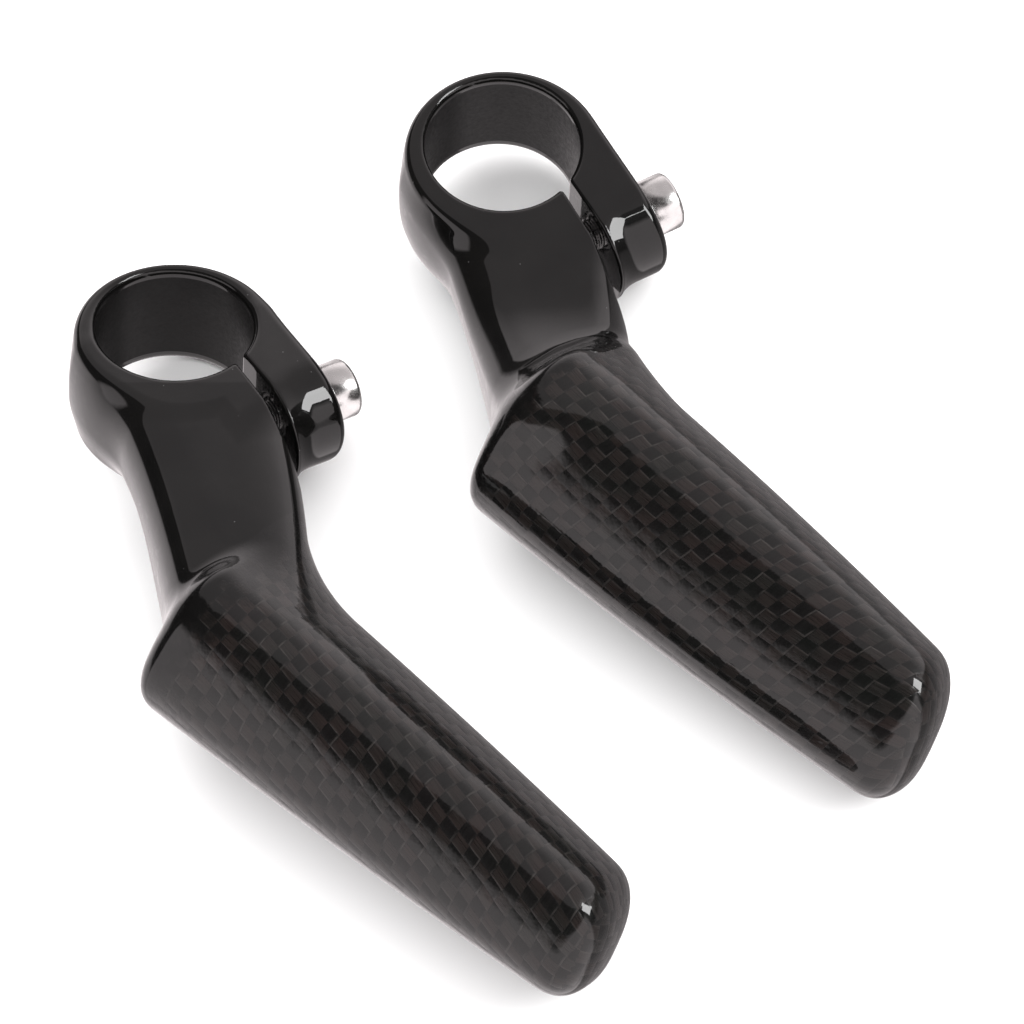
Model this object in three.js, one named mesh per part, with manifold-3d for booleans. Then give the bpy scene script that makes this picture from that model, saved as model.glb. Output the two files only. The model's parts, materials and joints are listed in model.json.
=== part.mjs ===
// A pair of clamp-on bicycle bar ends, lying side by side on a flat surface.
//
// Each bar end is a split ring with an ear and a clamp bolt, a short neck, and a hollow
// carbon grip bonded over the end of the neck. The left one is the mirror image of the right.
//
// Lengths are millimetres. A bar end is drawn in its own frame: the origin is in the middle of
// the bore, +Z runs along the bore out of one face of the clamp, the neck leaves along -Y and
// the grip turns towards +X.

import * as THREE from 'three';
import { LoftGeometry } from 'three/addons/geometries/LoftGeometry.js';
import { mergeVertices } from 'three/addons/utils/BufferGeometryUtils.js';
import Module from 'manifold-3d';

// ---- driving dimensions -------------------------------------------------------------------

const BORE_RADIUS = 11.1; // a 22.2 mm handlebar
const CLAMP_WIDTH = 17.6; // along the bore
const GAP = 0.25; // left between pieces that touch

const RING = {
  centre: new THREE.Vector2(0.3, -1.3), // the wall is thicker on the neck side
  faceRadius: 13.0, // at the two flat faces
  crown: 1.8, // how far the side bulges between them
};

const BOLT_LEAN = THREE.MathUtils.degToRad(28); // the bolt axis above +X
const BOLT_OFFSET = 14.8; // from the bore axis to the bolt axis
const EAR = { outer: 13.4, bevel: 1.2 }; // the bolt seat, from the bore axis
const SLOT = { neckSide: 3.3, earSide: 5.9, length: 34 };

const NECK_PATH = [
  new THREE.Vector3(0, 0, 0),
  new THREE.Vector3(7.5, -24.5, -2),
  new THREE.Vector3(8.5, -51.5, -5.5),
];
const NECK = { widths: [13.5, 11.8, 10.6, 9.0], heights: [8.8, 8.7, 8.3, 7.0], exponent: 3.8 };

const GRIP = {
  start: new THREE.Vector3(3.6, -43.8, -5.7), // the middle of the heel
  end: new THREE.Vector3(54.4, -97.2, -11.2), // the middle of the tip
  widths: [14.0, 12.8, 9.9], // half widths at heel, middle and tip
  heights: [12.5, 10.8, 8.2],
  exponent: 2.9,
  twist: THREE.MathUtils.degToRad(-39), // the flats are turned from the clamp's faces
  heelRound: 5.0,
  tipRound: 6.5,
  wall: 1.8,
};
const TANG = { from: 8, to: 36, width: 6.5, height: 5.0, exponent: 3.5 };
const CORE_FROM = 13; // the foam starts behind the end of the neck

const BOLT = { radius: 2.5, length: 20, headRadius: 4.25, headHeight: 5, hexFlats: 4, hexDepth: 2.6 };
const BOLT_HOLE_RADIUS = 2.8;
const WASHER = { radius: 5, hole: 2.75, thickness: 1 };
const INSERT = { radius: 3.0, length: 8.5 };
const BOLT_POCKET = 9.6; // depth of the bolt's hole below the neck side of the slot

// How each bar end lies: turned about Z, then rested on the surface by two small tilts.
const LAYOUT = [
  { side: 'right', mirror: 1, x: -43.7, y: 25.7, yaw: -2.9, tiltX: -12.2, tiltY: 9.91 },
  { side: 'left', mirror: -1, x: 6.5, y: 49.6, yaw: -7.5, tiltX: 2.49, tiltY: 6.77 },
];

// ---- colours ------------------------------------------------------------------------------

const MATERIALS = {
  clamp_neck: new THREE.MeshStandardMaterial({ color: 0x0b0b0c, roughness: 0.12, metalness: 0.0 }),
  grip_shell: new THREE.MeshStandardMaterial({ color: 0x1c1a19, roughness: 0.15, metalness: 0.1 }),
  foam_core: new THREE.MeshStandardMaterial({ color: 0xd8c9a0, roughness: 0.9, metalness: 0.0 }),
  clamp_bolt: new THREE.MeshStandardMaterial({ color: 0xc9c7c3, roughness: 0.18, metalness: 1.0 }),
  washer: new THREE.MeshStandardMaterial({ color: 0xd6d5d2, roughness: 0.22, metalness: 1.0 }),
  threaded_insert: new THREE.MeshStandardMaterial({ color: 0xb9b6ae, roughness: 0.3, metalness: 1.0 }),
};

// ---- solids -------------------------------------------------------------------------------

const wasm = await Module();
wasm.setup();

/** A closed three.js geometry as a manifold solid. */
function solid(geometry) {
  const bare = new THREE.BufferGeometry().copy(geometry);
  bare.deleteAttribute('normal');
  bare.deleteAttribute('uv');
  const merged = mergeVertices(bare, 1e-4);
  const corners = merged.index.array;
  const kept = [];
  for (let i = 0; i < corners.length; i += 3) {
    const [a, b, c] = corners.slice(i, i + 3);
    if (a !== b && b !== c && c !== a) kept.push(a, b, c);
  }
  const mesh = new wasm.Mesh({
    numProp: 3,
    vertProperties: new Float32Array(merged.attributes.position.array),
    triVerts: new Uint32Array(kept),
  });
  return new wasm.Manifold(mesh);
}

/** A manifold solid as a three.js geometry. */
function geometryOf(manifold) {
  const mesh = manifold.getMesh();
  const geometry = new THREE.BufferGeometry();
  geometry.setAttribute('position', new THREE.BufferAttribute(new Float32Array(mesh.vertProperties), 3));
  geometry.setIndex(new THREE.BufferAttribute(new Uint32Array(mesh.triVerts), 1));
  geometry.computeVertexNormals();
  return geometry;
}

/** A smooth value at the share t of the way through evenly spaced values. */
function along(values, t) {
  const points = values.map((value, i) => new THREE.Vector2(i, value));
  return new THREE.SplineCurve(points).getPoint(THREE.MathUtils.clamp(t, 0, 1)).y;
}

/** A closed superellipse section, square to the given direction. */
function section({ centre, direction, halfWidth, halfHeight, exponent, twist = 0, count = 28 }) {
  const side = new THREE.Vector3(0, 0, 1).cross(direction).normalize();
  const up = direction.clone().cross(side).normalize();
  const power = 2 / exponent;
  const points = [];
  for (let i = 0; i < count; i++) {
    const angle = (i / count) * 2 * Math.PI;
    const x = halfWidth * Math.sign(Math.cos(angle)) * Math.abs(Math.cos(angle)) ** power;
    const y = halfHeight * Math.sign(Math.sin(angle)) * Math.abs(Math.sin(angle)) ** power;
    const turned = new THREE.Vector2(x, y).rotateAround(new THREE.Vector2(), twist);
    points.push(centre.clone().addScaledVector(side, turned.x).addScaledVector(up, turned.y));
  }
  return points;
}

function loft(sections) {
  return solid(new LoftGeometry(sections, { capStart: true, capEnd: true }));
}

// ---- the clamp's frame: across the slot, along the ear, along the bore ---------------------

/** Turns +Z onto the bolt axis, with +X along the ear, and moves it to the given distance out. */
function boltFrame(distance) {
  const outward = new THREE.Vector3(Math.cos(BOLT_LEAN), Math.sin(BOLT_LEAN), 0);
  const alongEar = new THREE.Vector3(Math.sin(BOLT_LEAN), -Math.cos(BOLT_LEAN), 0);
  const across = outward.clone().cross(alongEar);
  const frame = new THREE.Matrix4().makeBasis(alongEar, across, outward);
  return frame.setPosition(outward.multiplyScalar(distance));
}

/** A turned solid about the bolt axis, from a profile of [radius, height] points. */
function turnedOnBolt(profile, distance, segments = 24) {
  const points = profile.map(([radius, height]) => new THREE.Vector2(radius, height));
  const geometry = new THREE.LatheGeometry(points, segments).rotateX(Math.PI / 2);
  geometry.translate(BOLT_OFFSET, 0, 0);
  return solid(geometry.applyMatrix4(boltFrame(distance)));
}

function rod(radius, length, distance, segments = 24) {
  return turnedOnBolt([[0, 0], [radius, 0], [radius, length], [0, length]], distance, segments);
}

// ---- sub-parts ----------------------------------------------------------------------------

function ringSolid() {
  const steps = 5;
  const points = [new THREE.Vector2(0, -CLAMP_WIDTH / 2)];
  for (let i = -steps; i <= steps; i++) {
    const height = Math.sign(i) * Math.abs(i / steps) ** 0.6;
    const bulge = (1 - Math.abs(height) ** 5) ** 0.25;
    points.push(new THREE.Vector2(RING.faceRadius + RING.crown * bulge, (height * CLAMP_WIDTH) / 2));
  }
  points.push(new THREE.Vector2(0, CLAMP_WIDTH / 2));
  const geometry = new THREE.LatheGeometry(points, 44).rotateX(Math.PI / 2);
  return solid(geometry.translate(RING.centre.x, RING.centre.y, 0));
}

/** The ear: a slab beside the ring whose end is rolled round the bolt axis. */
function earSolid() {
  const half = CLAMP_WIDTH / 2;
  const inset = half - EAR.bevel;
  const outline = new THREE.Shape();
  outline.moveTo(0, -inset);
  outline.lineTo(BOLT_OFFSET, -inset);
  outline.absarc(BOLT_OFFSET, 0, inset, -Math.PI / 2, Math.PI / 2, false);
  outline.lineTo(0, inset);
  outline.closePath();
  const geometry = new THREE.ExtrudeGeometry(outline, {
    depth: EAR.outer - EAR.bevel,
    bevelThickness: EAR.bevel,
    bevelSize: EAR.bevel,
    bevelSegments: 2,
    curveSegments: 10,
  });
  return solid(geometry.applyMatrix4(boltFrame(0)));
}

/** The gap between the ear and the neck, which opens into the bore. */
function slotSolid() {
  const width = SLOT.earSide - SLOT.neckSide;
  const geometry = new THREE.BoxGeometry(SLOT.length, CLAMP_WIDTH * 1.5, width);
  geometry.translate(SLOT.length / 2, 0, 0);
  return solid(geometry.applyMatrix4(boltFrame((SLOT.earSide + SLOT.neckSide) / 2)));
}

/** The neck from the ring into the grip, grown by the given amount. */
function neckSolid(grow) {
  const path = new THREE.QuadraticBezierCurve3(...NECK_PATH);
  const steps = 7;
  const sections = [];
  for (let i = 0; i <= steps; i++) {
    const t = i / steps;
    sections.push(section({
      centre: path.getPoint(t).addScaledVector(path.getTangent(t), i === steps ? grow : 0),
      direction: path.getTangent(t),
      halfWidth: along(NECK.widths, t) + grow,
      halfHeight: along(NECK.heights, t) + grow,
      exponent: NECK.exponent,
    }));
  }
  return loft(sections);
}

/** Sections along the grip's straight axis, from the heel end to the tip end. */
function gripSections({ from, to, heelRound, tipRound, inset }) {
  const direction = GRIP.end.clone().sub(GRIP.start);
  const length = direction.length();
  direction.normalize();
  const cut = (distance, scale) => section({
    centre: GRIP.start.clone().addScaledVector(direction, distance),
    direction,
    halfWidth: (along(GRIP.widths, distance / length) - inset) * scale,
    halfHeight: (along(GRIP.heights, distance / length) - inset) * scale,
    exponent: GRIP.exponent,
    twist: GRIP.twist,
    count: 32,
  });
  const turns = [12, 34, 58, 90].map(THREE.MathUtils.degToRad);
  const heel = turns.map((turn) => cut(from + heelRound * (1 - Math.cos(turn)), Math.sin(turn)));
  const tip = turns.map((turn) => cut(to - tipRound * (1 - Math.cos(turn)), Math.sin(turn)));
  const middle = [0.25, 0.5, 0.75].map((share) => {
    return cut(THREE.MathUtils.lerp(from + heelRound, to - tipRound, share), 1);
  });
  return [...heel, ...middle, ...tip.reverse()];
}

/** The grip's outer form, or a smaller form inside it that may start further along. */
function gripSolid(inset = 0, from = inset) {
  return loft(gripSections({
    from,
    to: GRIP.end.distanceTo(GRIP.start) - inset,
    heelRound: Math.max(GRIP.heelRound - inset, 2),
    tipRound: GRIP.tipRound - inset,
    inset,
  }));
}

/** The tongue that carries on from the neck inside the grip. */
function tangSolid(grow) {
  const direction = GRIP.end.clone().sub(GRIP.start).normalize();
  const ends = [TANG.from, TANG.to + grow];
  return loft(ends.map((distance) => section({
    centre: GRIP.start.clone().addScaledVector(direction, distance),
    direction,
    halfWidth: TANG.width + grow,
    halfHeight: TANG.height + grow,
    exponent: TANG.exponent,
    twist: GRIP.twist,
    count: 20,
  })));
}

function clampNeck() {
  const bore = solid(
    new THREE.CylinderGeometry(BORE_RADIUS, BORE_RADIUS, CLAMP_WIDTH * 1.5, 48).rotateX(Math.PI / 2),
  );
  const boltHole = rod(BOLT_HOLE_RADIUS, EAR.outer + BOLT_POCKET, SLOT.neckSide - BOLT_POCKET);
  const insertPocket = rod(INSERT.radius + GAP, INSERT.length + 1, SLOT.neckSide - INSERT.length);
  return ringSolid()
    .add(earSolid())
    .add(neckSolid(0))
    .add(tangSolid(0))
    .subtract(slotSolid())
    .subtract(bore)
    .subtract(boltHole)
    .subtract(insertPocket);
}

function gripShell() {
  return gripSolid().subtract(gripSolid(GRIP.wall)).subtract(neckSolid(GAP));
}

function foamCore() {
  return gripSolid(GRIP.wall + GAP, CORE_FROM).subtract(tangSolid(GAP)).subtract(neckSolid(GAP));
}

/** The socket-head bolt: its head stands outside the washer and its shank points inwards. */
function clampBolt() {
  const seat = EAR.outer + WASHER.thickness + 2 * GAP;
  const rim = 0.5;
  const body = turnedOnBolt(
    [
      [0, -BOLT.length],
      [BOLT.radius - rim, -BOLT.length],
      [BOLT.radius, -BOLT.length + rim],
      [BOLT.radius, 0],
      [BOLT.headRadius, 0],
      [BOLT.headRadius, BOLT.headHeight - rim],
      [BOLT.headRadius - rim, BOLT.headHeight],
      [0, BOLT.headHeight],
    ],
    seat,
  );
  const corner = BOLT.hexFlats / Math.sqrt(3);
  const socket = turnedOnBolt(
    [[0, 0], [corner, 0], [corner, BOLT.hexDepth + 1], [0, BOLT.hexDepth + 1]],
    seat + BOLT.headHeight - BOLT.hexDepth,
    6,
  );
  return body.subtract(socket);
}

function washer() {
  const blank = rod(WASHER.radius, WASHER.thickness, EAR.outer + GAP);
  return blank.subtract(rod(WASHER.hole, WASHER.thickness * 3, EAR.outer - WASHER.thickness));
}

function threadedInsert() {
  const start = SLOT.neckSide - INSERT.length + GAP;
  const length = INSERT.length - GAP;
  const blank = rod(INSERT.radius, length, start);
  return blank.subtract(rod(BOLT.radius + GAP / 2, length * 2, start - length / 2));
}

// ---- assembly -----------------------------------------------------------------------------

const PIECES = {
  clamp_neck: geometryOf(clampNeck()),
  grip_shell: geometryOf(gripShell()),
  foam_core: geometryOf(foamCore()),
  clamp_bolt: geometryOf(clampBolt()),
  washer: geometryOf(washer()),
  threaded_insert: geometryOf(threadedInsert()),
};

/** One bar end, lying on the surface at its place. */
function barEnd({ side, mirror, x, y, yaw, tiltX, tiltY }) {
  const inner = new THREE.Group();
  inner.scale.z = mirror;
  for (const [name, geometry] of Object.entries(PIECES)) {
    const mesh = new THREE.Mesh(geometry, MATERIALS[name]);
    mesh.name = `${side}_${name}`;
    inner.add(mesh);
  }
  const tilted = new THREE.Group();
  tilted.add(inner);
  tilted.rotation.set(THREE.MathUtils.degToRad(tiltX), THREE.MathUtils.degToRad(tiltY), 0);
  const placed = new THREE.Group();
  placed.add(tilted);
  placed.rotation.z = THREE.MathUtils.degToRad(yaw);
  placed.position.set(x, y, 0);
  placed.position.z = -new THREE.Box3().setFromObject(placed, true).min.z;
  return placed;
}

const pair = new THREE.Group();
for (const layout of LAYOUT) pair.add(barEnd(layout));

// The origin is in the middle of the pair, on the surface that it lies on.
const extent = new THREE.Box3().setFromObject(pair, true);
const middle = extent.getCenter(new THREE.Vector3());
pair.position.set(-middle.x, -middle.y, -extent.min.z);

export default pair;
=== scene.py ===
import json
import math

import bmesh
import bpy
import numpy as np
from mathutils import Matrix, Vector


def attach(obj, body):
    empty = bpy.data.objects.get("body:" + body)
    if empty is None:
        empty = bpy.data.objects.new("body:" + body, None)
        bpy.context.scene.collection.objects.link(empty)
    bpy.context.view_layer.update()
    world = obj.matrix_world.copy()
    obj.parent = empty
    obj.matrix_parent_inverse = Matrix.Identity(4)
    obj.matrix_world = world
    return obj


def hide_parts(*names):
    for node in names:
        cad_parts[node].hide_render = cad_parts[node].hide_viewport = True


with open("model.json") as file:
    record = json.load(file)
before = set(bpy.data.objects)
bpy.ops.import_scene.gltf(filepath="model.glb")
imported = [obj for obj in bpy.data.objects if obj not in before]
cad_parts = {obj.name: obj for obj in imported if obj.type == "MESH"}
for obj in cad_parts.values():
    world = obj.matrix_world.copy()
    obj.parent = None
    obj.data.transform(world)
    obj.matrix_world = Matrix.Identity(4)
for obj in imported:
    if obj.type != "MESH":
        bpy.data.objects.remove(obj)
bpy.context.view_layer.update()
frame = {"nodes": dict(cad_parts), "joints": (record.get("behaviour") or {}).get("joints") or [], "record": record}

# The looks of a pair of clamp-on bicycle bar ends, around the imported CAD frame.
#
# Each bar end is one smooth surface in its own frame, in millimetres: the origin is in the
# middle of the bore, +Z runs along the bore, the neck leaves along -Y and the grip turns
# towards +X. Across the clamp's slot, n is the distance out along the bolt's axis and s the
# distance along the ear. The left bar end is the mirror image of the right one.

MM = 0.001
SIDES = {"right": 1, "left": -1}

# ---- driving dimensions ---------------------------------------------------------------------

BORE_RADIUS = 11.1
HALF_WIDTH = 8.8  # of the clamp, along the bore
RING_CENTRE = (0.3, -1.3)
RING_RADIUS = 14.8
SIDE_BULGE = 0.7  # the ring and the ear are a little barrel-shaped
FACE_ROUND = 1.4
BORE_ROUND = 1.1
BORE_GLOSS = 1.5  # the lacquered band inside each mouth of the bore

BOLT_LEAN = math.radians(28)
BOLT_OFFSET = 14.8
EAR_OUTER = 13.4
EAR_LEAN = math.radians(-0.6)  # its outer side is a tangent to the ring
SPOT_RADIUS = 5.7  # the flat that the washer sits on, sunk into the ear's side
CUT_ROUND = 0.25  # the edges of that flat and of the bolt's hole

SLOT_START, SLOT_END = 5.0, 35.0
SLOT_ROUND = 0.5
SLOT_SIDES = (3.7, 5.4)  # where the gap lies, outward from the bore's middle
SLOT_BOW = {"from": 18.0, "curve": 0.006}  # its neck side curves away along the ear
SLOT_FLARE = {"from": 10.0, "slope": 0.04}  # its ear side opens steadily
HOLE_RADIUS, HOLE_DEPTH = 2.8, 6.0
POCKET_RADIUS, POCKET_DEPTH, POCKET_MOUTH = 3.25, 5.3, 4.0  # for the threaded insert

NECK_PATH = np.array([(0, 0, 0), (7.5, -24.5, -2), (8.5, -51.5, -5.5)], float)
NECK_WIDTHS = (13.5, 11.8, 10.6, 9.0)
NECK_HEIGHTS = (11.5, 11.5, 12.0, 12.0)
NECK_POWER = 3.0
NECK_REACH = 50.5  # about how far it goes along -Y, to start the search for a nearest point
NEAREST_STEPS = 4
NECK_FACE = {"from": -12.0, "slope": 0.055}  # the outer face carries on, a little lower
NECK_SADDLE = {"middle": -26.0, "reach": 10.0, "depth": 0.9}  # in the inner face
NECK_RISE = {"from": -23.0, "curve": 0.018}  # the ramp up to the heel
NECK_ROUND = {"outer": 3.0, "inner": 6.5}  # its inner shoulders are much rounder
NECK_FACE_ROUND = 0.4

GRIP_START = np.array((3.6, -43.8, -5.7))
GRIP_END = np.array((54.4, -97.2, -11.2))
GRIP_WIDTHS = (14.0, 12.8, 9.9)
GRIP_HEIGHTS = (12.5, 10.8, 8.2)
GRIP_POWER = 2.9
GRIP_TWIST = math.radians(-39)
HEEL_ROUND, TIP_ROUND = 5.0, 6.5
HEEL_REACH = 0.8  # the heel's swell, past the end of the axis
TIP_SLANT = 0.26  # the tip is cut at a slant, longer on the outside of the bend
END_POWER = 2.5
SEAM_AT = 0.5  # where the grip's mesh begins, along its axis
SEAM_MARGIN = 1.5  # how much more than its own side a mesh keeps for the cut
GRIP_LENGTH = float(np.linalg.norm(GRIP_END - GRIP_START))

NECK_BLEND = 4.0
HEEL_BLEND = (3.0, 7.5)  # a crease on the outside of the bend, a broad fillet on the inside
HEEL_CREASE = (-11.0, 7.0)  # between these x the crease opens into the fillet
HEEL_LEVEL = 6.0  # and between this height and its opposite, towards the inner face
CLAMP_BOX = ((-17, -64, -20), (34, 16, 12))
GRIP_BOX = ((-17, -112, -30), (72, -22, 12))
GRID_BLOCK = 4  # fine cells along the side of a coarse one
GRID_BAND = 1.9  # how many coarse cells from the surface the fine grid is worked out
CLAMP_STEP, GRIP_STEP = 0.3, 0.5

BOLT_RADIUS, BOLT_LENGTH, THREAD_PITCH, THREAD_DEPTH = 2.5, 20.0, 0.8, 0.28
BOLT_TIP = (1.9, 2.2, 0.25)  # its end's radius, the radius at the chamfer, and its height
THREAD_START, THREAD_STOP = 0.5, -1.5  # above the tip, and below the seat
HEAD_RADIUS, HEAD_HEIGHT, HEAD_ROUND = 4.25, 5.0, 0.7
HEAD_BEVEL = (0.25, 0.2)  # in and up, under the head
HEX_FLATS, HEX_DEPTH = 4.0, 2.6
HEX_BEVEL = (0.22, 0.2)  # out and down, round the socket's mouth
HEX_CONE = 0.35  # the drilled floor of the socket
BOLT_SEGMENTS, WASHER_SEGMENTS, WASHER_BEVEL = 48, 64, 0.15
WASHER_RADIUS, WASHER_HOLE, WASHER_THICKNESS = 5.0, 2.75, 1.0
PIECE_GAP = 0.25

TILE_ALONG, TILE_AROUND = 2.3, 1.71  # the size of one crossing in the carbon cloth
TIP_FACING = 0.8  # a face that points this much along the grip belongs to its tip
TIP_CLOTH_SHIFT = (31.0, 17.0)  # so that the tip's cloth doesn't line up with the sides'
CLOTH_SECTIONS = 25
BORE_MARGIN = 0.08  # a point this close to the wall of the bore is on it
CLOTH_TURN = {"right": math.radians(-2), "left": math.radians(16)}  # off the grip's axis
FADE = {"right": (2.0, 13.0), "left": (1.0, 8.0)}  # where the lacquer thins out over the cloth


# ---- the surface as a field, negative inside ------------------------------------------------


def unit(vector):
    return vector / np.linalg.norm(vector)


def smooth_min(a, b, width):
    """The union of two fields, with a fillet about as wide as given."""
    share = np.maximum(width - np.abs(a - b), 0) / width
    return np.minimum(a, b) - share * share * width / 4


def round_max(a, b, radius):
    """What two fields have in common, with its outer edge rounded."""
    outside = np.hypot(np.maximum(a + radius, 0), np.maximum(b + radius, 0))
    return np.minimum(np.maximum(a, b), -radius) + outside


def along(values, share):
    """A smooth value at a share of the way through evenly spaced values."""
    spots = np.linspace(0, 1, len(values))
    curve = np.polyfit(spots, values, len(values) - 1)
    return np.polyval(curve, np.clip(share, 0, 1))


def superellipse(a, b, width, height, power):
    """How far out a point is, where 1 is on the section's outline."""
    return (np.abs(a / width) ** power + np.abs(b / height) ** power) ** (1 / power)


def across_slot(x, y):
    """The distances out along the bolt's axis and along the ear."""
    n = x * math.cos(BOLT_LEAN) + y * math.sin(BOLT_LEAN)
    s = x * math.sin(BOLT_LEAN) - y * math.cos(BOLT_LEAN)
    return n, s


def ring_field(x, y, z):
    side = np.hypot(x - RING_CENTRE[0], y - RING_CENTRE[1])
    side = side - RING_RADIUS + SIDE_BULGE * (z / HALF_WIDTH) ** 2
    return round_max(side, np.abs(z) - HALF_WIDTH, FACE_ROUND)


def ear_field(n, s, z):
    rolled = np.hypot(np.maximum(s - BOLT_OFFSET, 0), z) - HALF_WIDTH
    ring_n, ring_s = across_slot(*RING_CENTRE)
    outer = (n - ring_n) * math.cos(EAR_LEAN) + (s - ring_s) * math.sin(EAR_LEAN) - RING_RADIUS
    outer = outer + SIDE_BULGE * (z / HALF_WIDTH) ** 2
    slab = round_max(rolled, outer, FACE_ROUND)
    start = ring_s + RING_RADIUS * math.sin(EAR_LEAN) - s
    return np.maximum(slab, np.maximum(-n, start))


def spot_face_field(n, s, z):
    """Positive inside the flat-bottomed recess under the washer."""
    return np.minimum(SPOT_RADIUS - np.hypot(s - BOLT_OFFSET, z), n - EAR_OUTER)


def neck_field(x, y, z):
    """A superellipse swept along the neck's curve."""
    first, bend, last = NECK_PATH
    slope, turn = 2 * (bend - first), first - 2 * bend + last
    points = np.stack([x, y, z], -1)
    t = np.clip(-y / NECK_REACH, 0, 1)
    for _ in range(NEAREST_STEPS):
        away = points - (first + slope * t[:, None] + turn * t[:, None] ** 2)
        tangent = slope + 2 * turn * t[:, None]
        t = np.clip(t + (away * tangent).sum(1) / (tangent**2).sum(1), 0, 1)
    away = points - (first + slope * t[:, None] + turn * t[:, None] ** 2)
    tangent = slope + 2 * turn * t[:, None]
    tangent /= np.linalg.norm(tangent, axis=1)[:, None]
    side = np.stack([-tangent[:, 1], tangent[:, 0], 0 * t], -1)
    side /= np.linalg.norm(side, axis=1)[:, None]
    up = np.cross(tangent, side)
    a, b = (away * side).sum(1), (away * up).sum(1)
    rho = superellipse(a, b, along(NECK_WIDTHS, t), along(NECK_HEIGHTS, t), NECK_POWER)
    sides = np.hypot(a, b) * (1 - 1 / np.maximum(rho, 1e-3))
    ends = np.abs((away * tangent).sum(1))
    return np.where(ends > 1e-3, np.hypot(np.maximum(sides, 0), ends), sides)


def neck_faces(y, z):
    """The faces that bound the clamp and the neck: nearly flat outside, dipped inside."""
    outer = z - HALF_WIDTH + NECK_FACE["slope"] * np.maximum(NECK_FACE["from"] - y, 0)
    off_middle = (y - NECK_SADDLE["middle"]) / NECK_SADDLE["reach"]
    dip = NECK_SADDLE["depth"] * np.exp(-(off_middle**2))
    rise = NECK_RISE["curve"] * np.maximum(NECK_RISE["from"] - y, 0) ** 2
    return outer, -z - HALF_WIDTH + dip - rise


def neck_between_faces(x, y, z):
    outer, inner = neck_faces(y, z)
    neck = round_max(neck_field(x, y, z), outer, NECK_ROUND["outer"])
    return round_max(neck, inner, NECK_ROUND["inner"])


def grip_place(x, y, z):
    """The distance along the grip's axis and the place in its section."""
    direction = unit(GRIP_END - GRIP_START)
    side = unit(np.cross((0, 0, 1), direction))
    up = np.cross(direction, side)
    away = np.stack([x, y, z], -1) - GRIP_START
    a, b = away @ side, away @ up
    turned_a = a * math.cos(GRIP_TWIST) + b * math.sin(GRIP_TWIST)
    turned_b = b * math.cos(GRIP_TWIST) - a * math.sin(GRIP_TWIST)
    return away @ direction, turned_a, turned_b


def grip_section(distance):
    share = distance / GRIP_LENGTH
    return along(GRIP_WIDTHS, share), along(GRIP_HEIGHTS, share)


def grip_field(x, y, z):
    distance, a, b = grip_place(x, y, z)
    width, height = grip_section(distance)
    sideways = a * math.cos(GRIP_TWIST) - b * math.sin(GRIP_TWIST)
    distance = distance + TIP_SLANT * sideways * np.clip(distance / GRIP_LENGTH, 0, 1) ** 2
    core = np.clip(distance, HEEL_ROUND - HEEL_REACH, GRIP_LENGTH - TIP_ROUND)
    section = superellipse(a, b, width, height, GRIP_POWER)
    beyond = distance - core
    end = np.abs(beyond) / np.where(beyond < 0, HEEL_ROUND, TIP_ROUND)
    rho = np.maximum((section**END_POWER + end**END_POWER) ** (1 / END_POWER), 1e-3)
    return np.sqrt(a**2 + b**2 + beyond**2) * (1 - 1 / rho)


def slot_field(n, s):
    """Positive inside the gap between the ear and the neck."""
    low = SLOT_SIDES[0] - SLOT_BOW["curve"] * np.maximum(s - SLOT_BOW["from"], 0) ** 2
    high = SLOT_SIDES[1] + SLOT_FLARE["slope"] * (s - SLOT_FLARE["from"])
    across = np.minimum(n - low, high - n)
    return np.minimum(across, np.minimum(s - SLOT_START, SLOT_END - s))


def hole_field(n, s, z):
    """Positive inside the bolt's hole and the insert's pocket."""
    off_axis = np.hypot(s - BOLT_OFFSET, z)
    hole = np.minimum(HOLE_RADIUS - off_axis, n + HOLE_DEPTH)
    pocket = np.minimum(POCKET_RADIUS - off_axis, np.minimum(n + POCKET_DEPTH, POCKET_MOUTH - n))
    return np.maximum(hole, pocket)


def heel_blend(x, z):
    """How wide the fillet between the neck and the grip is at each point."""
    inside_bend = np.clip((x - HEEL_CREASE[0]) / (HEEL_CREASE[1] - HEEL_CREASE[0]), 0, 1)
    inside_bend = inside_bend * np.clip((HEEL_LEVEL - z) / (2 * HEEL_LEVEL), 0, 1)
    return HEEL_BLEND[0] + (HEEL_BLEND[1] - HEEL_BLEND[0]) * inside_bend


def bar_end_field(points):
    x, y, z = points.T
    n, s = across_slot(x, y)
    clamp = np.minimum(ring_field(x, y, z), ear_field(n, s, z))
    clamp = round_max(clamp, spot_face_field(n, s, z), CUT_ROUND)
    body = smooth_min(clamp, neck_between_faces(x, y, z), NECK_BLEND)
    body = round_max(body, np.maximum(*neck_faces(y, z)), NECK_FACE_ROUND)
    body = smooth_min(body, grip_field(x, y, z), heel_blend(x, z))
    bore = BORE_RADIUS - np.hypot(x, y)
    body = round_max(body, bore, BORE_ROUND)
    body = round_max(body, slot_field(n, s), SLOT_ROUND)
    return round_max(body, hole_field(n, s, z), CUT_ROUND)


# ---- meshes from the field ------------------------------------------------------------------


def gradient(field, points, reach=0.02):
    steps = np.eye(3) * reach
    return np.stack([field(points + d) - field(points - d) for d in steps], -1) / (2 * reach)


def field_normals(points):
    slope = gradient(bar_end_field, points)
    return slope / np.linalg.norm(slope, axis=1)[:, None]


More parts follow.
